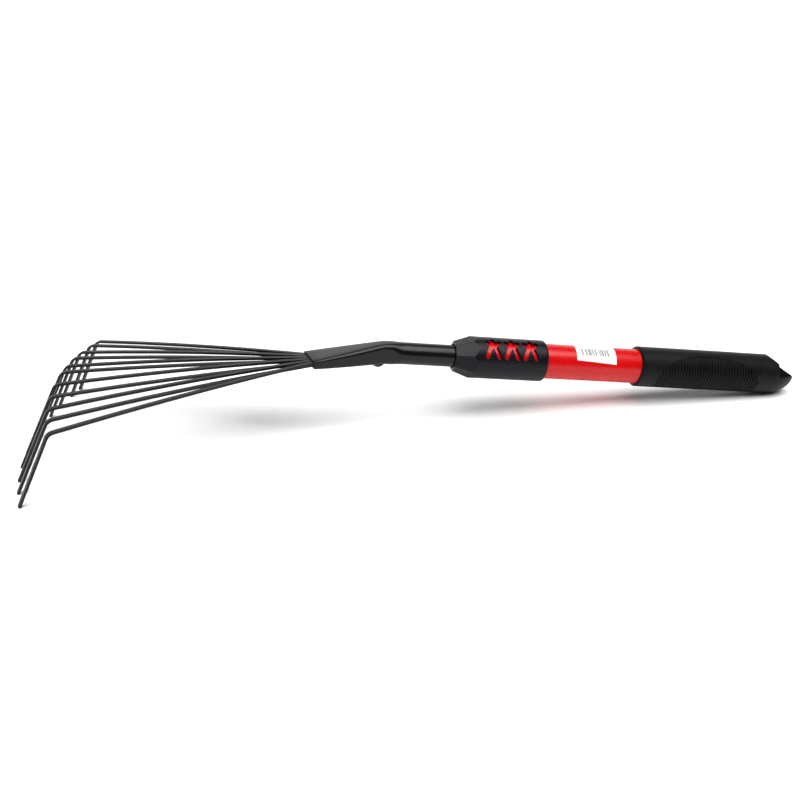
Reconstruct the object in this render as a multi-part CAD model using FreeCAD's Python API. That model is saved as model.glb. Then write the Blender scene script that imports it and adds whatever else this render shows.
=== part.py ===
import FreeCAD, Part
import os
from math import atan2, copysign, cos, degrees, hypot, pi, radians, sin, sqrt, tan
from FreeCAD import Vector

# Short-handled fan rake.  Lengths in millimetres, angles in degrees.
# +X runs from the tines to the butt of the grip, +Z is up, and the rake rests as it lies on the ground:
# on its tine tips and on the underside of the grip.  While it is built, the origin is the kink of the
# neck; at the end everything moves so that the origin is under the middle of the whole rake.

# ---- Driving dimensions -------------------------------------------------------------------------

# Handle line, measured from the kink of the neck towards the butt
handle_tilt = 7.15          # fall of the handle towards the butt
nose_start = 53.0           # front rim of the collar
collar_length = 72.7
visible_tube = 78.7         # bare red tube between the collar and the grip
grip_length = 142.6

# Tubes
handle_tube_od = 27.6
handle_tube_wall = 1.2
neck_od = 17.0
neck_wall = 1.4
neck_in_handle = 60.0       # how far the neck reaches into the handle tube
slip_gap = 0.05             # radial clearance between parts that slide together

# Collar
collar_wall = 2.3
nose_length = 16.5          # length of the facets on the eight-sided nose
nose_gap = 0.8              # radial gap between the neck and the nose
nose_lip = 1.5              # front rim, from the opening to a flat
shoulder_depth = 14.0       # from the rim to the shoulder that the handle tube stops on
collar_edge = 2.0           # rounding of the rear edge
window_count = 3
window_pitch = 15.0
window_first = 28.0         # from the rim to the middle of the first window
window_angle = 57.0         # windows face this far above the horizontal
window_arm = 3.6            # width of an arm of a window
window_legs = 5.2, 9.9      # end of the long lower arms: sideways, down
window_arms = 5.8, 4.7      # end of the short upper arms: sideways, up
window_head = 7.2           # end of the middle arm: up
window_waist = 1.2          # half the distance between the roots of the arms
window_low = 6.9            # start of the cut, from the axis

# Bushes, pin and plug hidden in the handle tube
bush_length = 18.0
pin_diameter = 4.0
pin_depth = 10.0            # from the front end of the handle tube
plug_length = 14.0
plug_flange = 2.0
tube_in_grip = 114.0        # how far the handle tube reaches into the grip

# Grip
grip_wall = 2.3
lip_bevel = 1.2
end_length = 26.0           # length of the rounded butt end
field_length = 90.0         # ribbed field that wraps round the underside and both sides
field_middle = 58.8         # from the lip to the middle of the field
field_end_angle = 69.0      # half angle of the field at its ends, from straight down
field_swell = 86.0          # how much wider the half angle is at the middle
rib_pitch = 2.5
groove_width = 1.25
groove_depth = 0.8
shoulder_length = 26.8      # from the drop behind the handgrip to the end of the hang tab
drop_foot = 16.3            # from the foot of the drop to the end of the hang tab
tab_length = 21.0           # from the side pockets to the end of the hang tab
tab_height = 8.6            # top of the tab over the grip's axis at the foot of the drop
tab_end_height = 0.3        # top of the tab over the axis at its end
tab_drop_bow = 0.6          # how full the curve of the drop is
tab_thickness = 6.5
pocket_floor = 0.5          # floor of the side pockets over the axis
hang_hole = 4.8             # diameter
hang_hole_from_end = 13.0
hang_hole_height = 3.4      # over the grip's axis

# Ferrule: the front end of the neck tube, pressed flat
ferrule_length = 57.0
ferrule_drop = 2.6          # mouth below the kink
lean_share = 0.25           # share of the ferrule over which its sections come upright
mouth_slant = 14.0          # the mouth is cut askew in plan
mouth_squareness = 0.35     # 1 is a round or oval section, less is squarer
crimp_depth = 14.0          # depth of the flat slot that grips the tine roots
kink_straight = 16.0        # round tube that is still straight behind the kink

# Rivet under the ferrule
rivet_back = 5.4            # ahead of the kink
rivet_shank_diameter = 5.0
rivet_head = 10.4
rivet_head_height = 3.1

# Tines, numbered from the +Y side; splayed by hand, so the angles are uneven
tine_angles = [25.7, 22.1, 16.6, 12.4, 7.3, 3.8, -2.7, -8.4, -13.4, -17.6, -22.1]
tine_width = 3.2
tine_thickness = 1.8
root_gap = 0.04             # clearance between roots that lie side by side
layer_gap_share = 0.16      # gap between the two layers of roots, as a share of the tine width
root_end_gap = 0.5          # between the ends of the roots and the end of the slot
pivot_out = 1.2             # the tines splay this far outside the mouth
bend_reach = 176.0          # from the mouth to the start of the bend on the middle line
bend_line_radius = 335.0    # the bends lie on an arc in plan
bend_height = 51.5          # height of the middle bends over the ground
crown_drop = 4.4            # the outer bends are this much lower
crown_bank = 1.3            # the outer tines lean by this much
run_arch = 1.5              # rise of the arch of a run
bend_radius = 6.0           # middle of the strip
leg_slant = 28.5            # legs from the vertical

# Label: paper wrapped over the handle tube
label_length = 33.0
label_start = 24.0          # from the rear end of the collar
label_paper = 0.12
label_low_angle = 27.0      # lower edge over the horizontal, on the -Y side
label_high_angle = 155.0    # upper edge, over the top and down the far side
label_skew = -1.5           # turned askew

# ---- Sizes that follow --------------------------------------------------------------------------

tine_count = len(tine_angles)
widest_angle = max(abs(angle) for angle in tine_angles)
handle_tube_r = handle_tube_od / 2
handle_tube_ir = handle_tube_r - handle_tube_wall
neck_r = neck_od / 2
collar_bore_r = handle_tube_r + slip_gap
collar_r = collar_bore_r + collar_wall
nose_bore = neck_r + nose_gap
nose_rim = nose_bore + nose_lip
grip_bore_r = handle_tube_r + slip_gap
grip_r = grip_bore_r + grip_wall
collar_end = nose_start + collar_length
tube_start = nose_start + shoulder_depth
grip_start = collar_end + visible_tube
grip_end = grip_start + grip_length
tube_end = grip_start + tube_in_grip
neck_end = tube_start + neck_in_handle

second_angle = max(tine_angles[2:])     # the widest tine that lies inside another of its layer
root_spread = cos(radians(mouth_slant)) / cos(radians(second_angle + mouth_slant))
root_pitch = (tine_width + root_gap) * root_spread / 2
layer_gap = layer_gap_share * tine_width
slot_width = (tine_count - 1) * root_pitch + tine_width + 2 * slip_gap
slot_height = 2 * tine_thickness + layer_gap
mouth_half_width = slot_width / 2 + neck_wall
mouth_half_height = slot_height / 2 + neck_wall


# ---- Small helpers ------------------------------------------------------------------------------

def at(radius, angle):
    """Point in a side view, as distances forwards and up, from a radius and an angle."""
    return radius * cos(radians(angle)), radius * sin(radians(angle))


def rod(start, end, radius):
    """Round bar on the handle's axis."""
    return Part.makeCylinder(radius, end - start, Vector(start, 0, 0), Vector(1, 0, 0))


def ring(start, end, outer, inner):
    """Round sleeve on the handle's axis."""
    return rod(start, end, outer).cut(rod(start, end, inner))


def polygon(points):
    """Closed wire through points."""
    return Part.makePolygon(points + points[:1])


def arc(first, middle, last):
    """Edge of a circular arc through three points."""
    return Part.Arc(first, middle, last).toShape()


def round_edge_at(x, radius):
    """Pick circles on the handle's axis by place and radius."""
    def picks(edge):
        curve = edge.Curve
        if not isinstance(curve, Part.Circle):
            return False
        return abs(curve.Center.x - x) < 0.01 and abs(curve.Radius - radius) < 0.01
    return picks


# ---- Handle -------------------------------------------------------------------------------------

def octagon(x, inner_radius):
    """Eight-sided section of the nose, with flats level and upright."""
    corner = inner_radius / cos(pi / 8)
    points = []
    for step in range(8):
        turn = pi / 8 + step * pi / 4
        points.append(Vector(x, corner * cos(turn), corner * sin(turn)))
    return polygon(points)


def window_cutter(middle):
    """Prism in the shape of one five-armed window, facing up before it is turned."""
    low = window_low
    high = collar_r + collar_wall
    roots_and_ends = [
        ((-window_waist, 0), (-window_legs[0], -window_legs[1])),
        ((window_waist, 0), (window_legs[0], -window_legs[1])),
        ((-window_waist, 0), (-window_arms[0], window_arms[1])),
        ((window_waist, 0), (window_arms[0], window_arms[1])),
        ((0, 0), (0, window_head)),
    ]
    half = window_arm / 2
    pieces = []
    for root, end in roots_and_ends:
        run = hypot(end[0] - root[0], end[1] - root[1]) - half
        turn = degrees(atan2(end[1] - root[1], end[0] - root[0]))
        bar = Part.makeBox(run, window_arm, high - low, Vector(0, -half, low))
        tip = Part.makeCylinder(half, high - low, Vector(run, 0, low))
        heel = Part.makeCylinder(half, high - low, Vector(0, 0, low))
        arm = bar.fuse([tip, heel])
        arm.rotate(Vector(), Vector(0, 0, 1), turn)
        arm.translate(Vector(root[0], root[1], 0))
        pieces.append(arm)
    cutter = pieces[0].fuse(pieces[1:])
    cutter.rotate(Vector(), Vector(1, 0, 0), 90 - window_angle)
    cutter.translate(Vector(middle, 0, 0))
    return cutter


def make_collar():
    """Plastic collar: eight-sided nose, round body, stepped bore and a row of windows."""
    slope = (collar_r - nose_rim) / nose_length
    past = collar_end + 1
    far_radius = nose_rim + slope * (past - nose_start)
    pyramid = Part.makeLoft([octagon(nose_start, nose_rim), octagon(past, far_radius)], True, True)
    body = rod(nose_start, collar_end, collar_r)
    rear = [edge for edge in body.Edges if round_edge_at(collar_end, collar_r)(edge)]
    body = body.makeFillet(collar_edge, rear).common(pyramid)
    body = body.cut(rod(nose_start - 1, collar_end + 1, nose_bore))
    body = body.cut(rod(tube_start, collar_end + 1, collar_bore_r))
    cutters = []
    for step in range(window_count):
        cutters.append(window_cutter(nose_start + window_first + step * window_pitch))
    return body.cut(cutters)


def pin_hole(clearance):
    """Cross hole for the neck pin through everything on the handle's axis."""
    reach = handle_tube_od
    radius = pin_diameter / 2 + clearance
    start = Vector(tube_start + pin_depth, -reach, 0)
    return Part.makeCylinder(radius, 2 * reach, start, Vector(0, 1, 0))


def make_handle_tube():
    """Straight red tube from the shoulder in the collar to its plug in the grip."""
    return ring(tube_start, tube_end, handle_tube_r, handle_tube_ir).cut(pin_hole(0))


def make_bush(start):
    """Ring that centres the neck in the handle tube."""
    return ring(start, start + bush_length, handle_tube_ir - slip_gap, neck_r + slip_gap)


def make_neck_pin():
    """Cross pin, ground flush with the outside of the handle tube."""
    return pin_hole(0).common(rod(tube_start, tube_end, handle_tube_r))


def make_end_plug():
    """Flanged plug in the rear end of the handle tube."""
    stem = rod(tube_end - plug_length, tube_end, handle_tube_ir - slip_gap)
    flange = rod(tube_end, tube_end + plug_flange, handle_tube_r - slip_gap)
    return stem.fuse(flange).removeSplitter()


def make_label():
    """Thin paper label, wrapped over the top of the handle tube and set askew."""
    outer = handle_tube_r + label_paper
    start = collar_end + label_start
    low_edge = -outer * cos(radians(label_low_angle))
    high_edge = -outer * cos(radians(label_high_angle))
    outline = Part.makeBox(label_length, high_edge - low_edge, 2 * outer, Vector(start, low_edge, 0))
    outline.rotate(Vector(start + label_length / 2, 0, 0), Vector(0, 0, 1), label_skew)
    around = ring(start - label_length, start + 2 * label_length, outer, handle_tube_r)
    return around.common(outline)


# ---- Grip ---------------------------------------------------------------------------------------

def groove_places():
    """Front edge of every groove between the ribs."""
    count = int(field_length / rib_pitch)
    first = grip_start + field_middle - (count - 1) / 2 * rib_pitch - groove_width / 2
    return [first + step * rib_pitch for step in range(count)]


def grip_body():
    """Round grip with a bevelled lip and a rounded butt end; its side is split at every groove's edges."""
    dome_start = grip_end - end_length
    lip_edge = grip_r - lip_bevel
    dome = Part.Ellipse(Vector(dome_start, 0, 0), end_length, grip_r)
    edges = [
        Part.makeLine(Vector(grip_start, 0, 0), Vector(grip_start, lip_edge, 0)),
        Part.makeLine(Vector(grip_start, lip_edge, 0), Vector(grip_start + lip_bevel, grip_r, 0)),
        Part.ArcOfEllipse(dome, 0, pi / 2).toShape(),
        Part.makeLine(Vector(grip_end, 0, 0), Vector(grip_start, 0, 0)),
    ]
    splits = [grip_start + lip_bevel, dome_start]
    for place in groove_places():
        splits += [place, place + groove_width]
    splits.sort()
    for start, end in zip(splits, splits[1:]):
        edges.append(Part.makeLine(Vector(start, grip_r, 0), Vector(end, grip_r, 0)))
    profile = Part.Wire(Part.__sortEdges__(edges))
    return Part.Face(profile).revolve(Vector(), Vector(1, 0, 0), 360)


def rib_grooves():
    """Grooves between the ribs, as sectors of rings centred on the underside."""
    middle = grip_start + field_middle
    inner = grip_r - groove_depth
    grooves = []
    for place in groove_places():
        across = 2 * (place + groove_width / 2 - middle) / field_length
        half_angle = field_end_angle + field_swell * sqrt(1 - across ** 2)
        outer = Part.makeCylinder(grip_r + 1, groove_width, Vector(), Vector(0, 0, 1), 2 * half_angle)
        sector = outer.cut(Part.makeCylinder(inner, groove_width))
        sector.rotate(Vector(), Vector(0, 0, 1), -half_angle)
        sector.rotate(Vector(), Vector(0, 1, 0), 90)
        sector.translate(Vector(place, 0, 0))
        grooves.append(sector)
    return grooves


def tab_cutters():
    """Solids cut away to leave the hang tab: the drop above it and a pocket on each side."""
    wide = 4 * grip_r
    shoulder = grip_end - shoulder_length
    landing = grip_end - drop_foot
    pocket = grip_end - tab_length
    top = Vector(shoulder, -wide / 2, grip_r)
    foot = Vector(landing, -wide / 2, tab_height)
    bulge = Vector((shoulder + landing) / 2, -wide / 2, (grip_r + tab_height) / 2 + tab_drop_bow)
    end = Vector(grip_end, -wide / 2, tab_end_height)
    over_end = Vector(grip_end, -wide / 2, wide / 2)
    over_top = Vector(shoulder, -wide / 2, wide / 2)
    outline = Part.Wire([
        arc(top, bulge, foot),
        Part.makeLine(foot, end),
        Part.makeLine(end, over_end),
        Part.makeLine(over_end, over_top),
        Part.makeLine(over_top, top),
    ])
    cutters = [Part.Face(outline).extrude(Vector(0, wide, 0))]
    for side in (-1, 1):
        inner = side * tab_thickness / 2
        start = min(inner, inner + side * wide)
        cutters.append(Part.makeBox(tab_length + 1, wide, wide, Vector(pocket, start, pocket_floor)))
    return cutters


def make_grip():
    """Rubber grip with its blind bore, ribbed field, hang tab and hang hole."""
    hole_start = Vector(grip_end - hang_hole_from_end, -grip_r, hang_hole_height)
    hole = Part.makeCylinder(hang_hole / 2, 2 * grip_r, hole_start, Vector(0, 1, 0))
    bore = rod(grip_start - 1, tube_end + plug_flange, grip_bore_r)
    return grip_body().cut(rib_grooves()).cut(tab_cutters() + [hole, bore])


# ---- Neck and ferrule ---------------------------------------------------------------------------

def squared(value, squareness):
    """Raise a sine or cosine to a power and keep its sign."""
    return copysign(abs(value) ** squareness, value)


def neck_section(middle, lean, half_width, half_height, squareness=1, points=24):
    """Closed smooth outline across the neck: round, or wide, low and nearly square when pressed."""
    outline = []
    for step in range(points):
        turn = 2 * pi * (step + 0.5) / points
        across = half_width * squared(cos(turn), squareness)
        up = half_height * squared(sin(turn), squareness)
        outline.append(Vector(0, across, up))
    curve = Part.BSplineCurve()
    curve.interpolate(outline, PeriodicFlag=True)
    wire = Part.Wire(curve.toShape())
    wire.rotate(Vector(), Vector(0, 1, 0), lean)
    wire.translate(middle)
    return wire


def ferrule_section(share, wall):
    """Section of the ferrule; share is 0 at the kink and 1 at the mouth."""
    squash = min(share, 1)
    half_height = neck_r + (mouth_half_height - neck_r) * squash - wall
    half_width = neck_r + (mouth_half_width - neck_r) * sin(squash * pi / 2) - wall
    middle = Vector(-ferrule_length * share, 0, -ferrule_drop * share)
    lean = handle_tilt * max(0, 1 - share / lean_share)
    squareness = 1 + (mouth_squareness - 1) * squash
    return neck_section(middle, lean, half_width, half_height, squareness)


def round_section(back, radius):
    """Round section of the neck, back from the kink along the handle."""
    middle = Vector(back * cos(radians(handle_tilt)), 0, -back * sin(radians(handle_tilt)))
    return neck_section(middle, handle_tilt, radius, radius)


def mouth_plane_cutter():
    """Block that trims the mouth of the ferrule askew."""
    size = 4 * mouth_half_width
    block = Part.makeBox(size, size, size, Vector(-size, -size / 2, -size / 2))
    block.rotate(Vector(), Vector(0, 0, 1), mouth_slant)
    block.translate(Vector(-ferrule_length, 0, -ferrule_drop))
    return block


def neck_solid(wall):
    """Solid from the tail of the neck to past its mouth, inset by a wall: a bar and a smooth loft."""
    radius = neck_r - wall
    tail = in_handle(rod(kink_straight, neck_end + wall, radius))
    axis = Vector(cos(radians(handle_tilt)), 0, -sin(radians(handle_tilt)))
    shares = (0.12, 0.3, 0.55, 0.8, 1.0, 1.12)
    slot_end = 1 - crimp_depth / ferrule_length
    if wall > 0:
        shares = [share for share in shares if share < slot_end] + [slot_end]
    sections = [Part.Wire(Part.Circle(axis * kink_straight, axis, radius).toShape())]
    sections += [round_section(kink_straight * part, radius) for part in (0.75, 0.5)]
    sections += [ferrule_section(share, wall) for share in shares]
    return tail.fuse(Part.makeLoft(sections, True))


def rivet_levels():
    """Height of the underside and of the top of the ferrule at the rivet."""
    share = rivet_back / ferrule_length
    middle = -ferrule_drop * share
    reach = neck_r + (mouth_half_height - neck_r) * share
    return middle - reach, middle + reach


def rivet_shank():
    """Upright bar on the rivet's axis, from inside its head to just under the top wall."""
    seat, top = rivet_levels()
    start = Vector(-rivet_back, 0, seat - rivet_head_height / 2)
    return Part.makeCylinder(rivet_shank_diameter / 2, top - start.z - 2 * neck_wall, start)


def make_neck_tube():
    """Steel neck: round in the handle, kinked, and pressed flat into the ferrule."""
    slot_start = Vector(-2 * ferrule_length, -slot_width / 2, -ferrule_drop - slot_height / 2)
    slot = Part.makeBox(ferrule_length + crimp_depth, slot_width, slot_height, slot_start)
    tube = neck_solid(0).cut(neck_solid(neck_wall)).cut([slot, mouth_plane_cutter()])
    return tube.cut([in_handle(pin_hole(0)), rivet_shank()])


def make_neck_rivet():
    """Blind rivet with a low round head under the neck."""
    low = Vector(-rivet_back, 0, rivet_levels()[0] - rivet_head_height)
    ball_radius = ((rivet_head / 2) ** 2 + rivet_head_height ** 2) / (2 * rivet_head_height)
    ball = Part.makeSphere(ball_radius, low + Vector(0, 0, ball_radius))
    skirt = Part.makeCylinder(rivet_head / 2, rivet_head_height + neck_r / 2, low)
    head = ball.common(skirt).cut(neck_solid(0))
    return head.fuse(rivet_shank()).removeSplitter()


# ---- Tines --------------------------------------------------------------------------------------

def strip_profile(run, rise, leg):
    """Side view of a strip: arched run, rounded bend and straight leg."""
    chord = hypot(run, rise)
    tilt = degrees(atan2(rise, run))
    radius = (chord ** 2 / 4 + run_arch ** 2) / (2 * run_arch)
    half_sweep = degrees(atan2(chord / 2, radius - run_arch))
    start = 90 + tilt + half_sweep
    end = 90 + tilt - half_sweep
    shift = at(radius, start)
    centre = (-shift[0], -shift[1])
    bend_end = leg_slant
    to_bend = at(radius - bend_radius, end)
    bend_centre = (centre[0] + to_bend[0], centre[1] + to_bend[1])
    down = at(leg, bend_end - 90)

    def place(origin, distance, angle, extra=(0, 0)):
        step = at(distance, angle)
        return Vector(-(origin[0] + step[0] + extra[0]), 0, origin[1] + step[1] + extra[1])

    edges = []
    corners = []
    for offset in (tine_thickness / 2, -tine_thickness / 2):
        points = [
            place(centre, radius + offset, start),
            place(centre, radius + offset, (start + end) / 2),
            place(centre, radius + offset, end),
            place(bend_centre, bend_radius + offset, (end + bend_end) / 2),
            place(bend_centre, bend_radius + offset, bend_end),
            place(bend_centre, bend_radius + offset, bend_end, down),
        ]
        edges += [arc(*points[0:3]), arc(*points[2:5]), Part.makeLine(points[4], points[5])]
        corners.append((points[0], points[5]))
    edges += [Part.makeLine(corners[0][0], corners[1][0]), Part.makeLine(corners[0][1], corners[1][1])]
    return Part.Wire(Part.__sortEdges__(edges))


def bend_distance(pivot, angle):
    """Distance in plan from a tine's pivot to the arc that the bends lie on."""
    centre_x = -ferrule_length - bend_reach + bend_line_radius
    toward = Vector(-cos(radians(angle)), sin(radians(angle)), 0)
    offset = Vector(pivot.x - centre_x, pivot.y, 0)
    along = offset.dot(toward)
    return -along + sqrt(along ** 2 - offset.dot(offset) + bend_line_radius ** 2)


def make_tine(number, kink_height):
    """One spring-steel strip, from its root in the ferrule to the ground."""
    angle = tine_angles[number]
    root_y = ((tine_count - 1) / 2 - number) * root_pitch
    layer = 1 if number % 2 == 0 else -1
    root_z = -ferrule_drop + layer * (tine_thickness + layer_gap) / 2
    root_x = -ferrule_length - pivot_out / cos(radians(mouth_slant)) - root_y * tan(radians(mouth_slant))
    pivot = Vector(root_x, root_y, root_z)
    run = bend_distance(pivot, angle)
    outward = (root_y + run * sin(radians(angle))) / (bend_reach * sin(radians(widest_angle)))
    bend_z = bend_height - kink_height - crown_drop * outward ** 2
    bank = crown_bank * angle / widest_angle

    def strip(leg):
        shape = Part.Face(strip_profile(run, bend_z - root_z, leg)).extrude(Vector(0, tine_width, 0))
        shape.translate(Vector(0, -tine_width / 2, 0))
        shape.rotate(Vector(), Vector(1, 0, 0), -bank)
        shape.rotate(Vector(), Vector(0, 0, 1), -angle)
        shape.translate(pivot)
        return shape

    short_leg = bend_height / 2
    still_missing = min(vertex.Z for vertex in strip(short_leg).Vertexes) + kink_height
    fall = cos(radians(leg_slant)) * cos(radians(bank))
    shape = strip(short_leg + still_missing / fall)

    root_length = -ferrule_length + crimp_depth - root_end_gap - root_x
    root_low = root_z - tine_thickness / 2
    root_corner = Vector(root_x, root_y - tine_width / 2, root_low)
    root = Part.makeBox(root_length, tine_width, tine_thickness, root_corner)
    knuckle = Part.makeCylinder(tine_width / 2, tine_thickness, Vector(root_x, root_y, root_low))
    return shape.fuse([root, knuckle]).removeSplitter()


# ---- Assembly -----------------------------------------------------------------------------------

def in_handle(shape):
    """Tilt a piece that was made along +X to the handle's fall."""
    tilted = shape.copy()
    tilted.rotate(Vector(), Vector(0, 1, 0), handle_tilt)
    return tilted


def make_all():
    """Every piece by name, with the kink of the neck at the origin."""
    pieces = {
        "collar_sleeve": in_handle(make_collar()),
        "handle_tube": in_handle(make_handle_tube()),
        "front_bush": in_handle(make_bush(tube_start).cut(pin_hole(0))),
        "rear_bush": in_handle(make_bush(neck_end - bush_length)),
        "neck_pin": in_handle(make_neck_pin()),
        "end_plug": in_handle(make_end_plug()),
        "grip": in_handle(make_grip()),
        "price_label": in_handle(make_label()),
        "neck_tube": make_neck_tube(),
        "neck_rivet": make_neck_rivet(),
    }
    kink_height = -pieces["grip"].optimalBoundingBox(False, False).ZMin
    for number in range(tine_count):
        pieces["tine_%02d" % (number + 1)] = make_tine(number, kink_height)
    return pieces


pieces = make_all()
box = Part.makeCompound(list(pieces.values())).optimalBoundingBox(False, False)
to_origin = Vector(-(box.XMin + box.XMax) / 2, -(box.YMin + box.YMax) / 2, -box.ZMin)
os.makedirs("parts", exist_ok=True)
for name, shape in pieces.items():
    shape.translate(to_origin)
    shape.exportStep("parts/%s.step" % name)
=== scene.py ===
import bpy
from math import copysign, cos, pi, radians, sin, tan
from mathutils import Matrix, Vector


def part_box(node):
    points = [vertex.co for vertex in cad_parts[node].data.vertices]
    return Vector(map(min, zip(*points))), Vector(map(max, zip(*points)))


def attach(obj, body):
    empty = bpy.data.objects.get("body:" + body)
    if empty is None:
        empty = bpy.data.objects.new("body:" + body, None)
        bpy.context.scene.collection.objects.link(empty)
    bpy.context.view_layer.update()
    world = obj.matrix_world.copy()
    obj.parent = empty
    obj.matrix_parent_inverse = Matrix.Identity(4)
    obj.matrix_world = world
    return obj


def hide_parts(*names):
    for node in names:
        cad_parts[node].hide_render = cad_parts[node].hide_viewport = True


# Short-handled fan rake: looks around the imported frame.  Lengths in metres.

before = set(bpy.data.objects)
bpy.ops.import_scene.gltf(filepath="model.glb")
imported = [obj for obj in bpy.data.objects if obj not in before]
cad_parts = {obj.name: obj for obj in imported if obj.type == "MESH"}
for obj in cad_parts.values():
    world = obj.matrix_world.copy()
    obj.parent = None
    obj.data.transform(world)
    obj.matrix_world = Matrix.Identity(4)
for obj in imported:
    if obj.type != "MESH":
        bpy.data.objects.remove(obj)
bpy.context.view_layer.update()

MM = 0.001

# ---- Camera and stage --------------------------------------------------------------------------

CAMERA_PLACE = (-0.1205, -0.5611, 0.2825)
CAMERA_PITCH = 64.64        # degrees from straight down
CAMERA_YAW = -9.42          # degrees, below zero turns it to the right
CAMERA_LENS = 36.0
CAMERA_SENSOR = 36.0

FLOOR_SIZE = 60.0
FLOOR_COLOUR = "#FAFAFA"
BACKDROP_STRENGTH = 1.15    # white backdrop behind the rake
ROOM_STRENGTH = 0.05        # dim room on the other sides
BACKDROP_EDGE = 0.55, 0.75  # share of +Y in a direction where the room ends and the backdrop begins
SUN_POWER = 4.4
SUN_SPREAD = 60.0           # degrees across, like a large softbox overhead
SUN_TILT = 13.0             # degrees from straight down, light comes from the front
SUN_TURN = 12.0             # degrees, and a little from the right

# ---- Neck --------------------------------------------------------------------------------------

# Millimetres from the kink; the handle falls towards +X and the ferrule runs towards -X.
HANDLE_FALL = 7.15          # degrees
RIVET_TO_KINK = 5.4
KINK_TO_TOP = 7.9           # from the kink up to the highest point of the neck
MOUTH_AHEAD = 57.0
MOUTH_SLANT = 14.0          # degrees, the mouth is cut askew
SLANT_START = 42.0          # sections ahead of this turn gradually into the slant
LEAN_END = 14.0             # sections behind this turn gradually square to the handle
NECK_WALL = 1.4
NECK_RADIUS = 8.5
NECK_TAIL = 126.9
LIP_ROUNDING = 0.35
LIP_ANGLE = 60.0            # degrees, only sharper edges are rounded
SMOOTH_ANGLE = 38.0         # degrees, sharper edges stay crisp
RING_POINTS = 64
# Pressed part: along, middle, half width, half height, squareness, pinch of the sides
NECK_PRESSED = (
    (MOUTH_AHEAD, -2.60, 12.18, 3.45, 0.30, 0.00),
    (51.0, -2.33, 12.10, 3.98, 0.32, 0.00),
    (SLANT_START, -1.92, 11.78, 4.76, 0.36, 0.01),
    (32.0, -1.46, 11.10, 5.62, 0.42, 0.02),
    (22.0, -1.00, 10.20, 6.50, 0.48, 0.04),
    (13.0, -0.55, 9.30, 7.25, 0.54, 0.08),
    (6.0, -0.20, 8.60, 7.80, 0.58, 0.14),
    (1.0, 0.00, 8.10, 8.15, 0.62, 0.19),
)
# Round part behind it: along the handle, half width, squareness, pinch of the sides
NECK_ROUND = (
    (5.0, 8.00, 0.70, 0.17),
    (8.5, 8.25, 0.84, 0.08),
    (11.5, 8.45, 0.96, 0.02),
    (14.0, NECK_RADIUS, 1.00, 0.00),
    (60.0, NECK_RADIUS, 1.00, 0.00),
    (NECK_TAIL, NECK_RADIUS, 1.00, 0.00),
)

# ---- Label -------------------------------------------------------------------------------------

# Field of plain printed bars: start and end, in millimetres from the label's front and near edges
PRINT_ALONG = 3.6, 29.3
PRINT_ACROSS = 3.5, 9.3
PRINT_EDGE = 0.1            # softness of the field's edges
PRINT_STROKES = 900.0       # strokes in a metre

# ---- Worn paint --------------------------------------------------------------------------------

WEAR_START = 0.985          # cosine between the rounded and the flat normal where wear begins
WEAR_FULL = 0.80            # and where it is complete
WEAR_PATCH = 4.0            # millimetres across a worn patch


# ---- Materials: helpers ------------------------------------------------------------------------

def linear(hex_colour):
    """sRGB hex value to a linear colour with alpha."""
    channels = [int(hex_colour[start:start + 2], 16) / 255 for start in (1, 3, 5)]
    return [c / 12.92 if c <= 0.04045 else ((c + 0.055) / 1.055) ** 2.4 for c in channels] + [1.0]


def add(material, kind, settings=None, **links):
    """Add a shader node; settings are its properties and inputs, links are sockets to plug in.

    A link is named after its input, or by an underscore and the input's number.
    """
    tree = material.node_tree
    node = tree.nodes.new("ShaderNode" + kind)
    for name, value in (settings or {}).items():
        if hasattr(node, name):
            setattr(node, name, value)
        else:
            node.inputs[name].default_value = value
    for name, socket in links.items():
        key = int(name[1:]) if name[1:].isdigit() else name.replace("_", " ")
        target = node.inputs[key]
        tree.links.new(socket, target)
    return node


def start_material(name):
    """New material with its surface shader; returns the material and the shader."""
    material = bpy.data.materials.new(name)
    material.use_nodes = True
    material.node_tree.nodes.clear()
    shader = add(material, "BsdfPrincipled")
    add(material, "OutputMaterial", Surface=shader.outputs["BSDF"])
    return material, shader


def plug(material, socket, shader, name):
    """Join a socket to a named input of the surface shader."""
    material.node_tree.links.new(socket, shader.inputs[name])


def noise(material, place, size, detail=3.0, roughness=0.5):
    """Value pattern whose features are about size metres across."""
    settings = {"Scale": 1.0 / size, "Detail": detail, "Roughness": roughness}
    return add(material, "TexNoise", settings, Vector=place).outputs["Fac"]


def ramp(material, value, low, high, first, last):
    """Map a value between low and high to a number between first and last."""
    settings = {"From Min": low, "From Max": high, "To Min": first, "To Max": last}
    return add(material, "MapRange", settings, Value=value).outputs["Result"]


def tinted(material, value, first, second):
    """Mix two sRGB hex colours by a value."""
    settings = {"data_type": "RGBA", "clamp_factor": True}
    node = add(material, "Mix", settings, _0=value)
    node.inputs[6].default_value = linear(first)
    node.inputs[7].default_value = linear(second)
    return node.outputs[2]


def bumped(material, shader, value, height, over=None):
    """Raise the surface by a value times a height in metres, over another normal if one is given."""
    links = {"Height": value}
    if over:
        links["Normal"] = over
    node = add(material, "Bump", {"Strength": 1.0, "Distance": height}, **links)
    plug(material, node.outputs["Normal"], shader, "Normal")


def edge_wear(material, place, radius):
    """0 on flat surface to 1 on outer edges, broken up so that wear looks patchy."""
    bevel = add(material, "Bevel", {"samples": 6, "Radius": radius})
    geometry = add(material, "NewGeometry")
    facing = add(material, "VectorMath", {"operation": "DOT_PRODUCT"},
                 _0=bevel.outputs["Normal"], _1=geometry.outputs["Normal"])
    edge = ramp(material, facing.outputs["Value"], WEAR_START, WEAR_FULL, 0.0, 1.0)
    patches = ramp(material, noise(material, place, WEAR_PATCH * MM, 5.0), 0.42, 0.62, 0.0, 1.0)
    product = add(material, "Math", {"operation": "MULTIPLY"}, _0=edge, _1=patches)
    return product.outputs["Value"]


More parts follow.
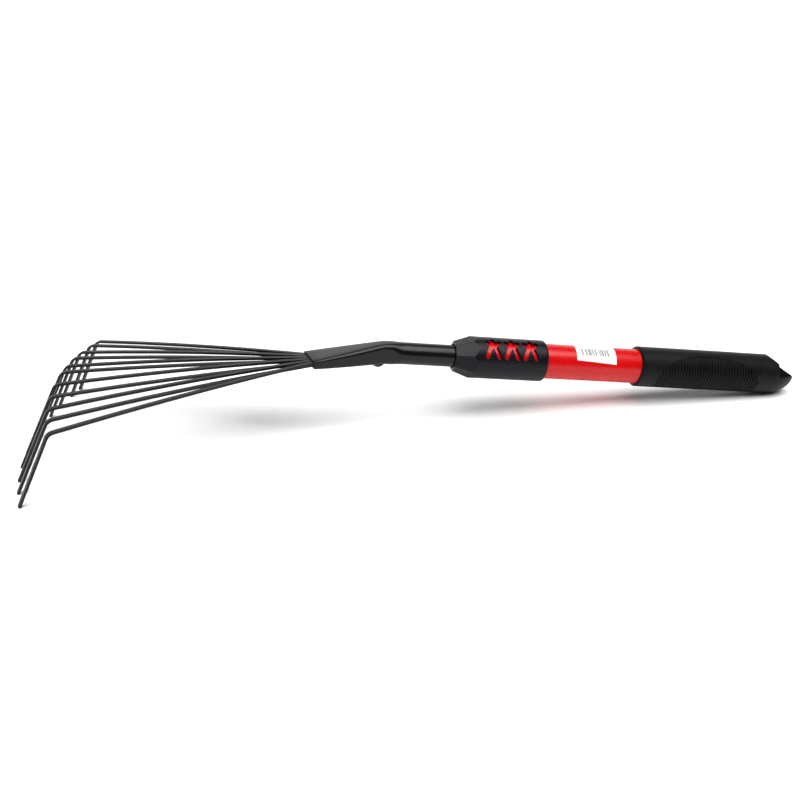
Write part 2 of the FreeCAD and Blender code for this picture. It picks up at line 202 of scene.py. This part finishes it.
def object_place(material):
    """Position on the object, in metres."""
    return add(material, "TexCoord").outputs["Object"]


def soft_edges(material, radius):
    """Normal that rounds sharp edges over a radius."""
    return add(material, "Bevel", {"samples": 4, "Radius": radius}).outputs["Normal"]


# ---- Materials ---------------------------------------------------------------------------------

def red_enamel():
    """Stoved gloss enamel on steel tube: a deep even red under a clear, slightly wavy gloss."""
    material, shader = start_material("red_enamel_on_tube")
    place = object_place(material)
    colour = tinted(material, noise(material, place, 30 * MM), "#BE0308", "#CE060D")
    plug(material, colour, shader, "Base Color")
    haze = noise(material, place, 9 * MM, 6.0, 0.6)
    plug(material, ramp(material, haze, 0.3, 0.7, 0.24, 0.34), shader, "Roughness")
    shader.inputs["Specular IOR Level"].default_value = 0.25
    shader.inputs["Coat Weight"].default_value = 0.2
    shader.inputs["Coat Roughness"].default_value = 0.12
    bumped(material, shader, noise(material, place, 2.2 * MM, 1.0), 0.012 * MM)
    return material


def black_powder_coat():
    """Polyester powder coat baked on steel: satin black with a fine orange peel."""
    material, shader = start_material("black_powder_coat")
    place = object_place(material)
    colour = tinted(material, noise(material, place, 14 * MM, 4.0), "#07070A", "#0C0C10")
    plug(material, colour, shader, "Base Color")
    haze = noise(material, place, 5 * MM, 6.0, 0.6)
    plug(material, ramp(material, haze, 0.3, 0.7, 0.20, 0.30), shader, "Roughness")
    shader.inputs["Specular IOR Level"].default_value = 0.28
    peel = noise(material, place, 0.9 * MM, 2.0)
    bumped(material, shader, peel, 0.018 * MM, over=soft_edges(material, 0.4 * MM))
    return material


def painted_spring_steel():
    """Sprung steel strip dipped in black paint: thin satin film, rubbed grey here and there."""
    material, shader = start_material("black_paint_on_spring_steel")
    place = object_place(material)
    rubbed = noise(material, place, 7 * MM, 6.0, 0.65)
    colour = tinted(material, ramp(material, rubbed, 0.5, 0.75, 0.0, 1.0), "#141415", "#201F20")
    worn = tinted(material, edge_wear(material, place, 0.4 * MM), "#000000", "#2A2929")
    adding = {"data_type": "RGBA", "blend_type": "ADD", "Factor": 1.0}
    both = add(material, "Mix", adding, _6=colour, _7=worn)
    plug(material, both.outputs[2], shader, "Base Color")
    plug(material, ramp(material, rubbed, 0.3, 0.7, 0.36, 0.50), shader, "Roughness")
    shader.inputs["Specular IOR Level"].default_value = 0.25
    flow = noise(material, place, 1.2 * MM, 3.0)
    bumped(material, shader, flow, 0.02 * MM, over=soft_edges(material, 0.15 * MM))
    return material


def moulded_black_plastic():
    """Polypropylene moulded in a spark-eroded tool: matt charcoal with a fine grain."""
    material, shader = start_material("moulded_black_polypropylene")
    place = object_place(material)
    colour = tinted(material, noise(material, place, 18 * MM, 4.0), "#0A0A0F", "#101016")
    plug(material, colour, shader, "Base Color")
    worn = noise(material, place, 6 * MM, 5.0, 0.6)
    plug(material, ramp(material, worn, 0.3, 0.7, 0.30, 0.42), shader, "Roughness")
    shader.inputs["Specular IOR Level"].default_value = 0.18
    grain = noise(material, place, 0.55 * MM, 2.0)
    bumped(material, shader, grain, 0.03 * MM, over=soft_edges(material, 0.6 * MM))
    return material


def soft_grip_rubber():
    """Thermoplastic rubber moulded over the tube: dull black, a little dusty."""
    material, shader = start_material("moulded_black_rubber")
    place = object_place(material)
    dust = noise(material, place, 11 * MM, 6.0, 0.62)
    colour = tinted(material, ramp(material, dust, 0.45, 0.8, 0.0, 1.0), "#09090C", "#131317")
    plug(material, colour, shader, "Base Color")
    plug(material, ramp(material, dust, 0.3, 0.7, 0.40, 0.54), shader, "Roughness")
    shader.inputs["Specular IOR Level"].default_value = 0.15
    grain = noise(material, place, 0.6 * MM, 2.0)
    bumped(material, shader, grain, 0.035 * MM, over=soft_edges(material, 0.25 * MM))
    return material


def zinc_plated_steel():
    """Zinc plated pin: dull silver with faint turning marks."""
    material, shader = start_material("zinc_plated_steel")
    place = object_place(material)
    colour = tinted(material, noise(material, place, 3 * MM), "#A9ABAD", "#C2C3C4")
    plug(material, colour, shader, "Base Color")
    marks = noise(material, place, 0.8 * MM)
    plug(material, ramp(material, marks, 0.3, 0.7, 0.3, 0.45), shader, "Roughness")
    shader.inputs["Metallic"].default_value = 1.0
    return material


def printed_bars(material, place):
    """1 on the printed strokes of the label, a row of plain bars, and 0 on bare paper."""
    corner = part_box("price_label")[0]
    split = add(material, "SeparateXYZ", Vector=place)
    lines = {"noise_dimensions": "1D", "Scale": PRINT_STROKES, "Detail": 0.0}
    stroke = add(material, "TexNoise", lines, W=split.outputs["X"])
    mask = ramp(material, stroke.outputs["Fac"], 0.49, 0.51, 0.0, 1.0)
    for axis, side, field in (("X", corner[0], PRINT_ALONG), ("Y", corner[1], PRINT_ACROSS)):
        start, end = (side + distance * MM for distance in field)
        for edge, before, after in ((start, 0.0, 1.0), (end, 1.0, 0.0)):
            inside = ramp(material, split.outputs[axis], edge, edge + PRINT_EDGE * MM, before, after)
            mask = add(material, "Math", {"operation": "MULTIPLY"}, _0=mask, _1=inside).outputs["Value"]
    return mask


def label_paper():
    """Coated white label paper: faintly warm, matt, with a trace of fibre and grey printed bars."""
    material, shader = start_material("coated_label_paper")
    place = object_place(material)
    paper = tinted(material, noise(material, place, 5 * MM, 5.0), "#E4E4E2", "#F0F0EE")
    bars = printed_bars(material, place)
    printed = add(material, "Mix", {"data_type": "RGBA"}, _0=bars, _6=paper)
    printed.inputs[7].default_value = linear("#6E6C70")
    plug(material, printed.outputs[2], shader, "Base Color")
    matt = noise(material, place, 1.5 * MM)
    plug(material, ramp(material, matt, 0.3, 0.7, 0.45, 0.6), shader, "Roughness")
    bumped(material, shader, noise(material, place, 0.4 * MM, 3.0), 0.01 * MM)
    return material


# ---- Helpers for pieces ------------------------------------------------------------------------

def finish(material, *names):
    """Give CAD nodes their material."""
    for name in names:
        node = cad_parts[name]
        node.data.materials.clear()
        node.data.materials.append(material)


def apply_modifiers(piece):
    """Make a piece the only selected one and apply its modifiers in order."""
    bpy.ops.object.select_all(action="DESELECT")
    piece.select_set(True)
    bpy.context.view_layer.objects.active = piece
    for modifier in list(piece.modifiers):
        bpy.ops.object.modifier_apply(modifier=modifier.name)


def powered(value, squareness):
    """Raise a sine or cosine to a power and keep its sign."""
    return copysign(abs(value) ** squareness, value)


def ring_points(half_width, half_height, squareness, pinch):
    """Outline across the neck as sideways and up pairs; the sides may be pinched in at mid height."""
    points = []
    for step in range(RING_POINTS):
        turn = 2 * pi * (step + 0.5) / RING_POINTS
        across = half_width * powered(cos(turn), squareness)
        level = powered(sin(turn), squareness)
        points.append((across * (1 - pinch * (1 - level * level)), half_height * level))
    return points


def skin(name, rings):
    """Open skin through rings of points, all with the same count."""
    vertices = [point for ring in rings for point in ring]
    count = len(rings[0])
    faces = []
    for row in range(len(rings) - 1):
        for step in range(count):
            after = (step + 1) % count
            faces.append((row * count + step, row * count + after,
                          (row + 1) * count + after, (row + 1) * count + step))
    mesh = bpy.data.meshes.new(name)
    mesh.from_pydata(vertices, [], faces)
    mesh.update()
    piece = bpy.data.objects.new(name, mesh)
    bpy.context.collection.objects.link(piece)
    return piece


# ---- The neck as a piece -----------------------------------------------------------------------

def kink_place():
    """Kink of the neck, from the boxes of the rivet and the neck."""
    rivet_low, rivet_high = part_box("neck_rivet")
    neck_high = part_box("neck_tube")[1]
    return Vector(((rivet_low[0] + rivet_high[0]) / 2 + RIVET_TO_KINK * MM,
                   (rivet_low[1] + rivet_high[1]) / 2,
                   neck_high[2] - KINK_TO_TOP * MM))


def neck_rings(kink):
    """Rings from the mouth of the ferrule to the tail inside the handle."""
    rings = []
    slant_length = MOUTH_AHEAD - SLANT_START
    fall = radians(HANDLE_FALL)
    for along, middle, half_width, half_height, squareness, pinch in NECK_PRESSED:
        slant = tan(radians(MOUTH_SLANT)) * max(0, (along - SLANT_START) / slant_length)
        lean = tan(fall) * max(0, 1 - along / LEAN_END)
        ring = []
        for across, up in ring_points(half_width, half_height, squareness, pinch):
            place = Vector((-along - across * slant + up * lean, across, middle + up))
            ring.append(kink + place * MM)
        rings.append(ring)
    for along, half_width, squareness, pinch in NECK_ROUND:
        ring = []
        for across, up in ring_points(half_width, NECK_RADIUS, squareness, pinch):
            forward = along * cos(fall) + up * sin(fall)
            height = up * cos(fall) - along * sin(fall)
            ring.append(kink + Vector((forward, across, height)) * MM)
        rings.append(ring)
    return rings


def make_neck(coat):
    """Steel tube, pressed flat and square into the ferrule, with its sides pinched in at the kink."""
    piece = skin("neck", neck_rings(kink_place()))
    wall = piece.modifiers.new("wall", "SOLIDIFY")
    wall.thickness = NECK_WALL * MM
    wall.offset = -1.0
    wall.use_even_offset = True
    lip = piece.modifiers.new("lip", "BEVEL")
    lip.width = LIP_ROUNDING * MM
    lip.segments = 2
    lip.angle_limit = radians(LIP_ANGLE)
    apply_modifiers(piece)
    bpy.ops.object.mode_set(mode="EDIT")
    bpy.ops.mesh.select_all(action="SELECT")
    bpy.ops.mesh.normals_make_consistent(inside=False)
    bpy.ops.object.mode_set(mode="OBJECT")
    bpy.ops.object.shade_smooth_by_angle(angle=radians(SMOOTH_ANGLE))
    piece.data.materials.append(coat)
    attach(piece, "root")
    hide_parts("neck_tube")


# ---- Stage -------------------------------------------------------------------------------------

def make_floor():
    """Large pale seamless floor under the rake."""
    bpy.ops.mesh.primitive_plane_add(size=FLOOR_SIZE, location=(0, 0, 0))
    floor = bpy.context.object
    floor.name = "floor"
    material, shader = start_material("pale_paper_backdrop")
    shader.inputs["Base Color"].default_value = linear(FLOOR_COLOUR)
    shader.inputs["Roughness"].default_value = 0.9
    shader.inputs["Specular IOR Level"].default_value = 0.1
    floor.data.materials.append(material)


def make_surroundings():
    """White backdrop behind the rake in a dim room, so that dark surfaces stay dark."""
    world = bpy.data.worlds.new("studio")
    world.use_nodes = True
    tree = world.node_tree
    direction = tree.nodes.new("ShaderNodeTexCoord")
    split = tree.nodes.new("ShaderNodeSeparateXYZ")
    fade = tree.nodes.new("ShaderNodeMapRange")
    fade.inputs["From Min"].default_value = BACKDROP_EDGE[0]
    fade.inputs["From Max"].default_value = BACKDROP_EDGE[1]
    fade.inputs["To Min"].default_value = ROOM_STRENGTH
    fade.inputs["To Max"].default_value = BACKDROP_STRENGTH
    tree.links.new(direction.outputs["Generated"], split.inputs["Vector"])
    tree.links.new(split.outputs["Y"], fade.inputs["Value"])
    background = tree.nodes["Background"]
    background.inputs["Color"].default_value = linear("#FFFFFF")
    tree.links.new(fade.outputs["Result"], background.inputs["Strength"])
    bpy.context.scene.world = world


def make_softbox():
    """One very large soft light overhead and a little to the front, even over the whole floor."""
    lamp = bpy.data.lights.new("overhead_softbox", "SUN")
    lamp.energy = SUN_POWER
    lamp.angle = radians(SUN_SPREAD)
    light = bpy.data.objects.new("overhead_softbox", lamp)
    bpy.context.collection.objects.link(light)
    light.rotation_euler = (radians(SUN_TILT), 0, radians(SUN_TURN))


def make_stage():
    """Floor, surroundings and light."""
    make_floor()
    make_surroundings()
    make_softbox()
    bpy.context.scene.view_settings.view_transform = "Standard"


def make_camera():
    """Camera a little above the table, in front of the neck."""
    lens = bpy.data.cameras.new("camera")
    lens.lens = CAMERA_LENS
    lens.sensor_width = CAMERA_SENSOR
    lens.clip_start = 0.01
    camera = bpy.data.objects.new("camera", lens)
    bpy.context.collection.objects.link(camera)
    camera.location = CAMERA_PLACE
    camera.rotation_euler = (radians(CAMERA_PITCH), 0, radians(CAMERA_YAW))
    bpy.context.scene.camera = camera


# ---- Assembly ----------------------------------------------------------------------------------

def main():
    """Build the looks piece by piece."""
    make_stage()
    make_camera()
    coat = black_powder_coat()
    make_neck(coat)
    finish(coat, "neck_rivet")
    finish(red_enamel(), "handle_tube")
    finish(moulded_black_plastic(), "collar_sleeve", "front_bush", "rear_bush", "end_plug")
    finish(soft_grip_rubber(), "grip")
    finish(zinc_plated_steel(), "neck_pin")
    finish(label_paper(), "price_label")
    finish(painted_spring_steel(), *[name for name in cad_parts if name.startswith("tine_")])


main()
